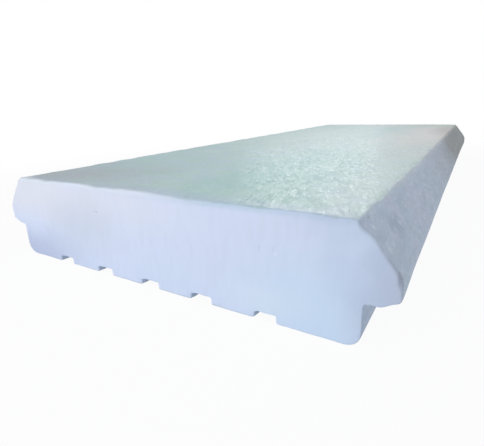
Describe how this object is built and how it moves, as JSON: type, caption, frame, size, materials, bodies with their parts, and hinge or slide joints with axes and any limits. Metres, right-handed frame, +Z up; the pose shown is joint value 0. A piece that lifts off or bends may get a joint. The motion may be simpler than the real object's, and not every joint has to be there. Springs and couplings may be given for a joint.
{
  "type": "foam infill block",
  "caption": "Pale polystyrene infill block for joist floors: a straight section with slanted side ledges, sloped shoulders and plaster keys along its underside.",
  "frame": {"origin": "on the underside, midway across and along the block", "axes": "+X across the joists, +Y along them, +Z up from the underside to the top face"},
  "size_m": [0.42, 1, 0.088],
  "materials": {
    "expanded_polystyrene": "matte fused beads, cut with a hot wire"
  },
  "bodies": {
    "root": {"foam_block": "expanded_polystyrene"}
  },
  "joints": []
}
